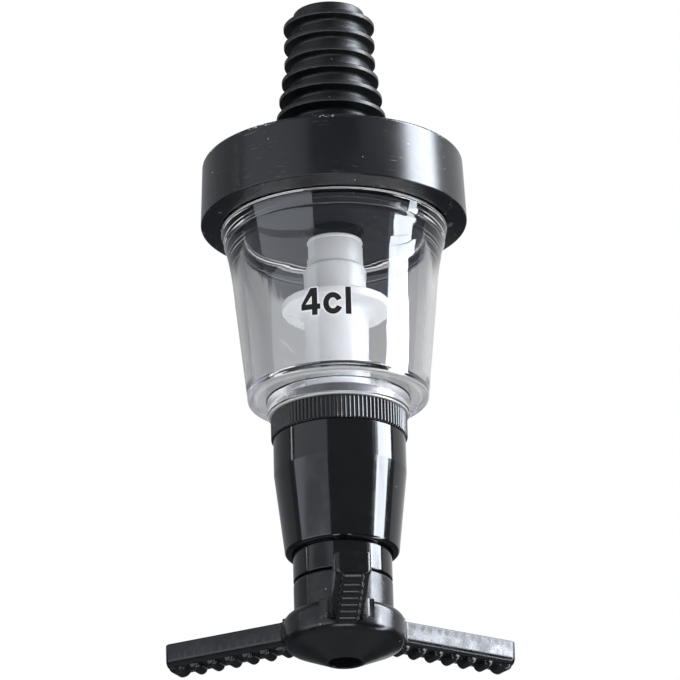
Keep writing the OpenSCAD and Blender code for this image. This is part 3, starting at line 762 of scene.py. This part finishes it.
def chamber_flare(rim_r, band_z, waist_z):
    """Corners of the outside from the band below the cap to the waist, with a fine bead on the flare that
    carries a painted highlight line.
    """
    step_z = band_z + RIM_STEP_H
    bead_z = band_z + RIM_BAND - FLARE_BEAD_DROP
    half = FLARE_BEAD_H / 2
    knee = (FLARE_KNEE_R, band_z - FLARE_KNEE_DROP)
    curve = bend((rim_r, band_z), knee, (WAIST_R, waist_z), FLARE_STEPS)
    bead_r = min(p.x for p in curve if p.y > bead_z)
    corners = [
        (rim_r - THREAD_DEPTH, step_z), (rim_r, band_z + RIM_EDGE_H, FINE_EDGE_R),
        (rim_r, band_z, SOFT_EDGE_R)]
    corners += [(p.x, p.y) for p in curve[1:] if p.y > bead_z + half]
    corners += [(bead_r, bead_z + half), (bead_r + FLARE_BEAD, bead_z, FLARE_BEAD_R, FLARE_BEAD_HIGHLIGHT)]
    corners += [(p.x, p.y) for p in curve if p.y < bead_z - half]
    return corners


def chamber_foot(low, waist_z, edge_z, base):
    """Corners from the cone's lower edge over the base and the neck to the floor inside."""
    bead_top = edge_z + FOOT_BEAD_H
    foot_r = cone_radius(base, waist_z, edge_z)
    scuff_r = foot_r - FOOT_SCUFF
    ring_low = base - NECK_RING_H
    inside = base + FLOOR_T
    return [
        (cone_radius(bead_top, waist_z, edge_z), bead_top, EDGE_R), (foot_r + FOOT_BEAD, edge_z, EDGE_R),
        (foot_r, base, FOOT_ROUND_R, 1), (scuff_r, base, 0, 1), (scuff_r - WEAR_AND_SHEEN_FADE, base),
        (NECK_RING_R, base, EDGE_R), (NECK_RING_R, ring_low, EDGE_R), (NECK_R, ring_low), (NECK_R, low),
        (NECK_BORE_R, low), (NECK_BORE_R, base), (FLOOR_HOLE_R, base),
        (FLOOR_HOLE_R, inside, FINE_EDGE_R),
        (cone_radius(inside, waist_z, edge_z) - FOOT_WALL, inside, FINE_EDGE_R)]


def chamber():
    low, top, rim_r = extent("chamber")
    band_z, waist_z, edge_z, base = chamber_levels()
    ceiling = extent("chamber_lid")[0]
    corners = chamber_rim(rim_r, band_z + RIM_STEP_H, top)
    corners += chamber_flare(rim_r, band_z, waist_z)
    corners += chamber_foot(low, waist_z, edge_z, base)
    corners += [(CEILING_R, ceiling), (rim_r - CHAMBER_WALL, ceiling)]
    obj = lathe("chamber_shell", rounded(corners))
    return dress(obj, CLEAR, "measure_body", "clear_plastic", "chamber")


def knurled_nut():
    low, top, outer = extent("knurled_nut")
    bore = NECK_R + FIT_GAP
    levels = [(low, NUT_EDGE), (low + NUT_EDGE, 0), (top - NUT_EDGE, 0), (top, NUT_EDGE)]
    steps = SERRATIONS * RIB_STEPS
    rib_r = math.pi * outer / SERRATIONS / math.sin(math.radians(RIB_ANGLE))
    rows = []
    for k in range(steps):
        a = 2 * math.pi * k / steps
        lean = math.radians(RIB_ANGLE) * (2 * (k % RIB_STEPS) / RIB_STEPS - 1)
        groove = rib_r * (1 - math.cos(lean))
        ring = [(outer - groove - edge, z) for z, edge in levels]
        ring += [(bore, top), (bore, low)]
        rows.append([(r * math.cos(a), r * math.sin(a), z) for r, z in ring])
    faces = turned_faces(steps, len(rows[0]))
    obj = mesh_object("nut_ribs", [p for row in rows for p in row], faces)
    return dress(obj, NUT, "measure_body", "nut_plastic", "knurled_nut")


def barrel():
    low, top, outer = extent("barrel")
    ledge = low + GUIDE_H
    neck_low = extent("chamber")[0]
    neck_bore = NECK_R + FIT_GAP
    corners = [
        (neck_bore, top), (outer, top, EDGE_R), (outer, top - BARREL_STRAIGHT_H, BARREL_KNEE_R),
        (BARREL_MOUTH_R, low, BARREL_MOUTH_EDGE_R), (GUIDE_BORE_R, low, EDGE_R), (GUIDE_BORE_R, ledge),
        (BARREL_BORE_R, ledge), (BARREL_BORE_R, neck_low), (neck_bore, neck_low)]
    obj = lathe("barrel_shell", rounded(corners))
    return dress(obj, GLOSS, "measure_body", "gloss_black", "barrel")


def return_spring():
    low, top, outer = extent("return_spring")
    coil_r = outer - WIRE_R
    steps = int(SPRING_TURNS * CURL_STEPS)
    rows = []
    for k in range(steps + 1):
        a = 2 * math.pi * k / CURL_STEPS
        z = low + WIRE_R + (top - low - 2 * WIRE_R) * k / steps
        row = []
        for s in range(WIRE_SIDES):
            b = 2 * math.pi * s / WIRE_SIDES
            r = coil_r + WIRE_R * math.cos(b)
            row.append((r * math.cos(a), r * math.sin(a), z + WIRE_R * math.sin(b)))
        rows.append(row)
    obj = loft("spring_coil", rows)
    dress(obj, STEEL, "measure_body", "spring_steel", "return_spring")
    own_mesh(obj)
    return obj


# Pieces of the plunger

def inlet_tip():
    low, top, outer = extent("inlet_tip")
    neck = outer - TIP_LIP
    lip_low = top - TIP_LIP_H
    hole_r = PIN_R + FIT_GAP
    hole_top = low + PIN_H + PIN_ROOM
    corners = [
        (0, top), (outer, top, EDGE_R), (outer, lip_low, TINY_EDGE_R),
        (neck, lip_low - TIP_LIP_FALL, TINY_EDGE_R), (neck, low), (hole_r, low), (hole_r, hole_top),
        (0, hole_top)]
    obj = lathe("tip_shell", rounded(corners))
    return dress(obj, WHITE, "plunger", "white_plastic", "inlet_tip")


def plug_body():
    low, top, outer = extent("plug_body")
    shoulder = top - PIN_H
    seat = extent("dose_disc")[1]
    corners = [
        (0, top), (PIN_R, top, FINE_EDGE_R), (PIN_R, shoulder), (outer, shoulder, PLUG_EDGE_R),
        (outer, seat), (STEM_R, seat), (STEM_R, low, FINE_EDGE_R), (0, low)]
    obj = lathe("plug_shell", rounded(corners))
    return dress(obj, WHITE, "plunger", "white_plastic", "plug_body")


def dose_disc():
    low, top, outer = extent("dose_disc")
    under = top - DISC_T
    fillet = bend((TUBE_R + DISC_FILLET, under), (TUBE_R, under), (TUBE_R, low))
    bore = STEM_R + FIT_GAP
    corners = [(bore, low), (bore, top), (outer, top, SOFT_EDGE_R), (outer, under, SOFT_EDGE_R)]
    corners += [(p.x, p.y) for p in fillet]
    obj = lathe("disc_shell", rounded(corners))
    return dress(obj, WHITE, "plunger", "white_plastic", "dose_disc")


def plunger_sleeve():
    low, top, _ = extent("plunger_sleeve")
    seat = SHOULDER_Z + SLEEVE_FLOOR_RISE
    under = seat - SLEEVE_FLOOR_T
    inner = PIVOT_R - PIVOT_WALL
    hole = TUBE_R - TUBE_END_STEP
    stop_low = top - STOP_H
    corners = [
        (SLEEVE_BORE_R, seat), (SLEEVE_BORE_R, top), (STOP_R, top, FINE_EDGE_R),
        (STOP_R, stop_low, FINE_EDGE_R), (SLEEVE_R, stop_low), (SLEEVE_R, SHOULDER_Z, EDGE_R),
        (PIVOT_R, SHOULDER_Z), (PIVOT_R, low, FINE_EDGE_R), (inner, low), (inner, under), (hole, under),
        (hole, seat)]
    obj = lathe("sleeve_shell", rounded(corners))
    return dress(obj, GLOSS, "plunger", "gloss_black", "plunger_sleeve")


# Pieces of the arm spider

def hub():
    outlet_z, collar_top, _ = extent("arm_spider")
    hub_top = SHOULDER_Z - COLLAR_H
    hub_low = hub_top - HUB_H
    funnel_z = hub_top - FUNNEL_DROP
    funnel_end = hub_low + FUNNEL_END_H
    spout_r = OUTLET_R + OUTLET_RIM
    corners = [
        (SPIDER_BORE_R, funnel_z), (SPIDER_BORE_R, collar_top, FINE_EDGE_R),
        (SLEEVE_R, collar_top, COLLAR_EDGE_R), (SLEEVE_R, hub_top, TINY_EDGE_R),
        (HUB_R, hub_top, HUB_EDGE_R), (HUB_R, hub_low, HUB_FOOT_R),
        (spout_r, outlet_z, SOFT_EDGE_R), (OUTLET_R, outlet_z, TINY_EDGE_R), (OUTLET_R, funnel_end)]
    obj = lathe("hub_shell", rounded(corners))
    return dress(obj, SATIN, "spider", "gloss_black", "arm_spider")


def rod_depth(along, across, radius, end_r):
    """How far a round tooth stands below the bar, at a place along and across from its middle."""
    beyond = max(0, abs(across) - (TOOTH_LEN / 2 - end_r)) * radius / end_r
    off = math.hypot(along, beyond)
    return max(0, TOOTH_H - radius + math.sqrt(max(0, radius ** 2 - off ** 2)))


def tip_level(x, crest):
    """Lowest level at the rounded lower edge of the tip."""
    outward = max(0, x - ARM_REACH + TIP_EDGE_R)
    return crest + TIP_EDGE_R - math.sqrt(max(0, TIP_EDGE_R ** 2 - outward ** 2))


def arm_floor(x, y, low):
    """Level of the arm's underside: flat, with round teeth, and the rounded tip as the first of them."""
    first = ARM_REACH - TIP_EDGE_R
    depths = [rod_depth(x - first + k * TOOTH_PITCH, y, TOOTH_R, TOOTH_END_R) for k in range(1, TEETH)]
    depths.append(rod_depth(min(x - first, 0), y, TIP_EDGE_R, TIP_END_R))
    return max(low - max(depths), tip_level(x, low - TOOTH_H))


def arm_half_width(x):
    """Half the arm's width: fillets at the root, rounded upright edges at the tip."""
    half = ARM_W / 2
    corner_y = half + ROOT_FILLET_R
    corner_x = math.sqrt((HUB_R + ROOT_FILLET_R) ** 2 - corner_y ** 2)
    if x < corner_x:
        inward = min(corner_x - x, ROOT_FILLET_R)
        return corner_y - math.sqrt(ROOT_FILLET_R ** 2 - inward ** 2)
    outward = max(0, x - ARM_REACH + TIP_SIDE_R)
    return half - TIP_SIDE_R + math.sqrt(max(0, TIP_SIDE_R ** 2 - outward ** 2))


def arm_stations():
    """Distances from the axis where the arm's section is drawn, closer at teeth, fillets and tip."""
    first = ARM_REACH - TIP_EDGE_R
    shares = {side * share for share in TOOTH_SHARES for side in (-1, 1)}
    found = {first - k * TOOTH_PITCH + TOOTH_R * share for k in range(1, TEETH) for share in shares}
    found |= {first - TIP_EDGE_R * share for share in TOOTH_SHARES}
    root = HUB_R - ARM_ROOT_DEPTH
    found |= {root + ROOT_STEP * k for k in range(ROOT_STEPS)}
    turns = [math.radians(90 * k / TIP_STEPS) for k in range(TIP_STEPS + 1)]
    found |= {ARM_REACH - TIP_EDGE_R * (1 - math.sin(a)) for a in turns}
    return sorted(x for x in found if root <= x <= ARM_REACH)


def arm_section(x, top, low):
    """Closed row of (across, level) points: flat top, upright sides, round lower edges, toothed floor."""
    half = arm_half_width(x)
    corner = low + ARM_EDGE_R
    side = [(0, top), (half * 0.5, top)]
    for k in range(ARM_TOP_EDGE_STEPS + 1):
        a = math.radians(90 - 90 * k / ARM_TOP_EDGE_STEPS)
        y = half - ARM_TOP_EDGE_R * (1 - math.cos(a))
        side.append((y, top - ARM_TOP_EDGE_R * (1 - math.sin(a))))
    side.append((half, (top + corner) / 2))
    for k in range(ARM_EDGE_STEPS + 1):
        a = math.radians(90 * k / ARM_EDGE_STEPS)
        side.append((half - ARM_EDGE_R * (1 - math.cos(a)), corner - ARM_EDGE_R * math.sin(a)))
    lowest = tip_level(x, low - TOOTH_H)
    side = [(y, max(z, lowest)) for y, z in side]
    flat = half - ARM_EDGE_R
    for share in FLOOR_SHARES:
        side.append((share * flat, arm_floor(x, share * TOOTH_LEN / 2, low)))
    return side + [(-y, z) for y, z in reversed(side[1:-1])]


def arm(name, heading):
    top = SHOULDER_Z - COLLAR_H - ARM_DROP
    turn = Matrix.Rotation(math.radians(heading), 3, "Z")
    rows = []
    for x in arm_stations():
        section = arm_section(x, top, top - ARM_H)
        rows.append([turn @ Vector((x, y, z)) for y, z in section])
    obj = loft(name, rows)
    return dress(obj, SATIN, "spider", "gloss_black", "arm_spider")


# Dose mark

def figure_four():
    """Outlines of a plain figure 4: outer edge and the window in it."""
    w, h, s = FIGURE_W, FIGURE_H, MARK_STROKE
    stem_r = w - FOUR_OVERHANG
    stem_l = stem_r - s
    bar_low = FOUR_BAR_Z
    bar_top = bar_low + s
    outer = [
        (stem_l - FOUR_SLANT, h), (stem_r, h), (stem_r, bar_top), (w, bar_top), (w, bar_low),
        (stem_r, bar_low), (stem_r, 0), (stem_l, 0), (stem_l, bar_low), (0, bar_low), (0, bar_top)]
    window = [(stem_l, h - FOUR_WINDOW_DROP), (FOUR_WINDOW_LEFT, bar_top), (stem_l, bar_top)]
    return [outer, window]


def letter_c():
    """Outline of a plain round c."""
    rx, ry = FIGURE_W / 2, ROUND_H / 2
    inner_rx, inner_ry = rx - MARK_STROKE, ry - MARK_STROKE
    sweep = 360 - 2 * ROUND_OPENING
    angles = [math.radians(ROUND_OPENING + sweep * k / ROUND_STEPS) for k in range(ROUND_STEPS + 1)]
    outer = [(rx + rx * math.cos(a), ry + ry * math.sin(a)) for a in angles]
    inner = [(rx + inner_rx * math.cos(a), ry + inner_ry * math.sin(a)) for a in angles]
    return [outer + inner[::-1]]


def letter_l():
    return [[(0, 0), (MARK_STROKE, 0), (MARK_STROKE, BAR_H), (0, BAR_H)]]


def mark_outlines():
    """All outlines of the mark, centred on its own middle."""
    shapes = [(figure_four(), FIGURE_W), (letter_c(), FIGURE_W), (letter_l(), MARK_STROKE)]
    width = sum(w for _, w in shapes) + LETTER_GAP * (len(shapes) - 1)
    left = -width / 2
    outlines = []
    for shape, w in shapes:
        outlines += [[(left + x, y - FIGURE_H / 2) for x, y in line] for line in shape]
        left += w + LETTER_GAP
    return outlines


def flat_mark(name, grow):
    """Mesh object of the mark in its own plane, grown by an outline width."""
    curve = bpy.data.curves.new(name, "CURVE")
    curve.dimensions = "2D"
    curve.fill_mode = "BOTH"
    curve.extrude = MARK_T / 2
    curve.offset = grow
    for outline in mark_outlines():
        spline = curve.splines.new("POLY")
        spline.points.add(len(outline) - 1)
        spline.use_cyclic_u = True
        for point, (x, y) in zip(spline.points, outline):
            point.co = (x, y, 0, 1)
    source = bpy.data.objects.new(name, curve)
    bpy.context.scene.collection.objects.link(source)
    mesh = bpy.data.meshes.new_from_object(source.evaluated_get(bpy.context.evaluated_depsgraph_get()))
    bpy.data.objects.remove(source)
    return mesh


def wrap_mark(name, grow, lift, material):
    """Mark bent round the chamber's cone, a hair above its wall."""
    _, waist_z, edge_z, _ = chamber_levels()
    mesh = flat_mark(name + "_flat", grow)
    work = bmesh.new()
    work.from_mesh(mesh)
    for axis in (0, 1):
        for k in range(-MARK_CUTS, MARK_CUTS + 1):
            place, normal = [0, 0, 0], [0, 0, 0]
            place[axis], normal[axis] = k * MARK_CUT, 1
            geometry = work.verts[:] + work.edges[:] + work.faces[:]
            bmesh.ops.bisect_plane(
                work, geom=geometry, plane_co=place, plane_no=normal, dist=CUT_TOLERANCE)
    tilt = Matrix.Rotation(math.radians(MARK_TILT), 2)
    for v in work.verts:
        x, y = tilt @ Vector((v.co.x, v.co.y))
        z = MARK_Z + y
        wall = cone_radius(z, waist_z, edge_z)
        a = math.radians(MARK_TURN - 90) + x / wall
        r = wall + lift + v.co.z + MARK_T / 2
        v.co = (r * math.cos(a), r * math.sin(a), z)
    bmesh.ops.remove_doubles(work, verts=work.verts, dist=MERGE)
    points = [v.co.copy() for v in work.verts]
    work.verts.index_update()
    faces = [[v.index for v in f.verts] for f in work.faces]
    work.free()
    bpy.data.meshes.remove(mesh)
    obj = mesh_object(name, points, faces)
    return dress(obj, material, "measure_body", "clear_plastic")


# CAD nodes that keep their own mesh

def paint_nodes():
    finishes = {
        "inlet_gasket": SEAL, "lid_gasket": SEAL, "inlet_seal": SEAL, "vent_valve": SEAL,
        "floor_seal": GREY_SEAL, "chamber_lid": LID, "seal_retainer": LID, "neck_washer": LIGHT,
        "guide_bush": DARK, "valve_tube": WHITE, "spring_washer": STEEL, "tube_clip": STEEL,
        "snap_ring": STEEL}
    for node, material in finishes.items():
        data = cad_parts[node].data
        data.materials.clear()
        data.materials.append(material)


# Studio and camera

def studio_world():
    """White backdrop for the camera, soft light on the pieces, a dim room in gloss and clear plastic."""
    world = bpy.data.worlds.new("studio")
    bpy.context.scene.world = world
    nodes = Nodes(world)
    way = nodes.add("ShaderNodeTexCoord").outputs["Generated"]
    angle = math.radians(CAMERA_TURN)
    turn = nodes.add("ShaderNodeVectorRotate", {"Vector": way, "Angle": angle}, rotation_type="Z_AXIS")
    x, y, z = nodes.add("ShaderNodeSeparateXYZ", {0: turn.outputs[0]}).outputs
    path = nodes.add("ShaderNodeLightPath").outputs
    through = nodes.blend(nodes.remap(x, *LEFT_TO_RIGHT_X), BEHIND_LEFT, BEHIND_RIGHT)
    through = nodes.blend(nodes.remap(z, *LOW_TO_BEHIND_Z), BEHIND_LOW, through)
    high = nodes.remap(z, *BEHIND_TO_HIGH_Z)
    middle = nodes.remap(nodes.maths("ABSOLUTE", x), *BEHIND_TO_HIGH_X)
    through = nodes.blend(nodes.maths("MULTIPLY", high, middle), through, BEHIND_HIGH)
    through = nodes.blend(nodes.remap(y, *SIDE_TO_BEHIND_Y), BEHIND_SIDE, through)
    room = nodes.blend(nodes.remap(z, *LOW_TO_ROOM_Z), ROOM_LOW, ROOM)
    room = nodes.blend(nodes.remap(z, *FLOOR_TO_ROOM_Z), ROOM_FLOOR, room)
    room = nodes.blend(path["Is Diffuse Ray"], room, SOFT_LIGHT)
    room = nodes.blend(path["Is Transmission Ray"], room, through)
    seen = nodes.blend(path["Is Camera Ray"], room, WHITE_BACK)
    nodes.feed(nodes.tree.nodes["Background"].inputs["Color"], seen)


def studio_place(azimuth, distance):
    """Place round the object, from a direction counted from the camera's side, positive to its right."""
    a = math.radians(azimuth - CAMERA_TURN)
    return Vector((math.sin(a), -math.cos(a), 0)) * distance


def panel(name, start, end, distance, low, high, radiance, tint=COOL):
    """Upright softbox between two directions that shows only in the gloss of the pieces."""
    first, last = studio_place(start, distance), studio_place(end, distance)
    middle = (first + last) / 2
    width = (last - first).length
    light = bpy.data.lights.new(name, "AREA")
    light.shape = "RECTANGLE"
    light.size, light.size_y = width * MM, (high - low) * MM
    light.energy = radiance * math.pi * light.size * light.size_y
    light.color = tint
    obj = bpy.data.objects.new(name, light)
    bpy.context.scene.collection.objects.link(obj)
    obj.location = (middle + Vector((0, 0, (low + high) / 2))) * MM
    obj.rotation_euler = (-middle).to_track_quat("-Z", "Y").to_euler()
    obj.visible_camera = False
    obj.visible_transmission = False
    obj.visible_diffuse = False


def studio_panels():
    """A bright strip on the right and a window on the left, with fainter panels beside and behind them."""
    for name, start, end, low, high in STRIP_BANDS:
        panel(name, start, end, STRIP_DISTANCE, low, high, STRIP_RADIANCE)
    panel("strip_foot", 80, 90, STRIP_DISTANCE, -1500, -100, 14)
    panel("strip_arm", 67.8, 73, STRIP_DISTANCE - PANEL_GAP, 225, 282, 60)
    panel("strip_edge", 65, 70, STRIP_DISTANCE + PANEL_GAP, -200, 1500, 4)
    panel("strip_fade", 59, 65, STRIP_DISTANCE + 2 * PANEL_GAP, -200, 1500, 0.8)
    panel("strip_back", 100, 105, STRIP_DISTANCE + PANEL_GAP, 450, 1500, 7)
    panel("fill_right", 25, 59, STRIP_DISTANCE + 3 * PANEL_GAP, 450, 1500, 0.3)
    for name, low, high, radiance in WINDOW_BANDS:
        panel(name, WINDOW_START, WINDOW_END, WINDOW_DISTANCE, low, high, radiance)
    panel("front_low", -20, 20, STRIP_DISTANCE, -1400, -700, 4.5)
    panel("slit", -93, -90.5, WINDOW_DISTANCE, 400, 640, 5.5, NEUTRAL)
    panel("backdrop_right", 107, 180, BACKDROP_DISTANCE, -300, 5000, 0.6, NEUTRAL)
    panel("backdrop_left", 180, 262, BACKDROP_DISTANCE, 450, 5000, 0.17, NEUTRAL)


def key_light(azimuth, distance, height, size, power):
    """Soft light on the pieces' own colour, not seen in their gloss."""
    light = bpy.data.lights.new("key", "AREA")
    light.size = size * MM
    light.energy = power
    obj = bpy.data.objects.new("key", light)
    bpy.context.scene.collection.objects.link(obj)
    place = studio_place(azimuth, distance) + Vector((0, 0, height))
    obj.location = place * MM
    obj.rotation_euler = (Vector((0, 0, MARK_Z)) - place).to_track_quat("-Z", "Y").to_euler()
    obj.visible_camera = False
    obj.visible_glossy = False
    obj.visible_transmission = False


def floor():
    half = FLOOR_SIZE / 2
    corners = ((-half, -half), (half, -half), (half, half), (-half, half))
    obj = mesh_object("floor", [(x, y, FLOOR_Z) for x, y in corners], [(0, 1, 2, 3)])
    paint = Paint("floor_pale", Roughness=0.8)
    paint.set("Base Color", paint.blend(paint.noise(0.002), FLOOR_PALE, FLOOR_LIGHT))
    obj.data.materials.append(paint.material)
    obj.visible_glossy = False


def camera():
    data = bpy.data.cameras.new("camera")
    data.sensor_width = SENSOR
    data.lens = FOCAL_PX * SENSOR / IMAGE_PX
    data.clip_start, data.clip_end = CLIP_NEAR_M, CLIP_FAR_M
    obj = bpy.data.objects.new("camera", data)
    bpy.context.scene.collection.objects.link(obj)
    yaw, pitch, roll = (math.radians(a) for a in (CAMERA_YAW, CAMERA_PITCH, CAMERA_ROLL))
    ahead = Vector((math.sin(yaw) * math.cos(pitch), math.cos(yaw) * math.cos(pitch), math.sin(pitch)))
    level = Vector((math.cos(yaw), -math.sin(yaw), 0))
    upright = level.cross(ahead)
    right = math.cos(roll) * level + math.sin(roll) * upright
    up = -math.sin(roll) * level + math.cos(roll) * upright
    place = Matrix((right, up, -ahead)).transposed().to_4x4()
    place.translation = Vector((0, -CAMERA_DISTANCE, CAMERA_Z)) * MM
    obj.matrix_world = Matrix.Rotation(math.radians(-CAMERA_TURN), 4, "Z") @ place
    bpy.context.scene.camera = obj


bottle_stopper()
top_cap()
chamber()
knurled_nut()
barrel()
return_spring()
inlet_tip()
plug_body()
dose_disc()
plunger_sleeve()
hub()
for arm_name, arm_heading in ARM_HEADINGS.items():
    arm(arm_name, arm_heading)
wrap_mark("mark_outline", MARK_OUTLINE, MARK_LIFT, INK_WHITE)
wrap_mark("mark_figures", 0, MARK_LIFT + MARK_T, INK_BLACK)
paint_nodes()
studio_world()
studio_panels()
key_light(azimuth=60, distance=1500, height=700, size=900, power=12)
floor()
camera()
bpy.context.scene.view_settings.view_transform = "Standard"
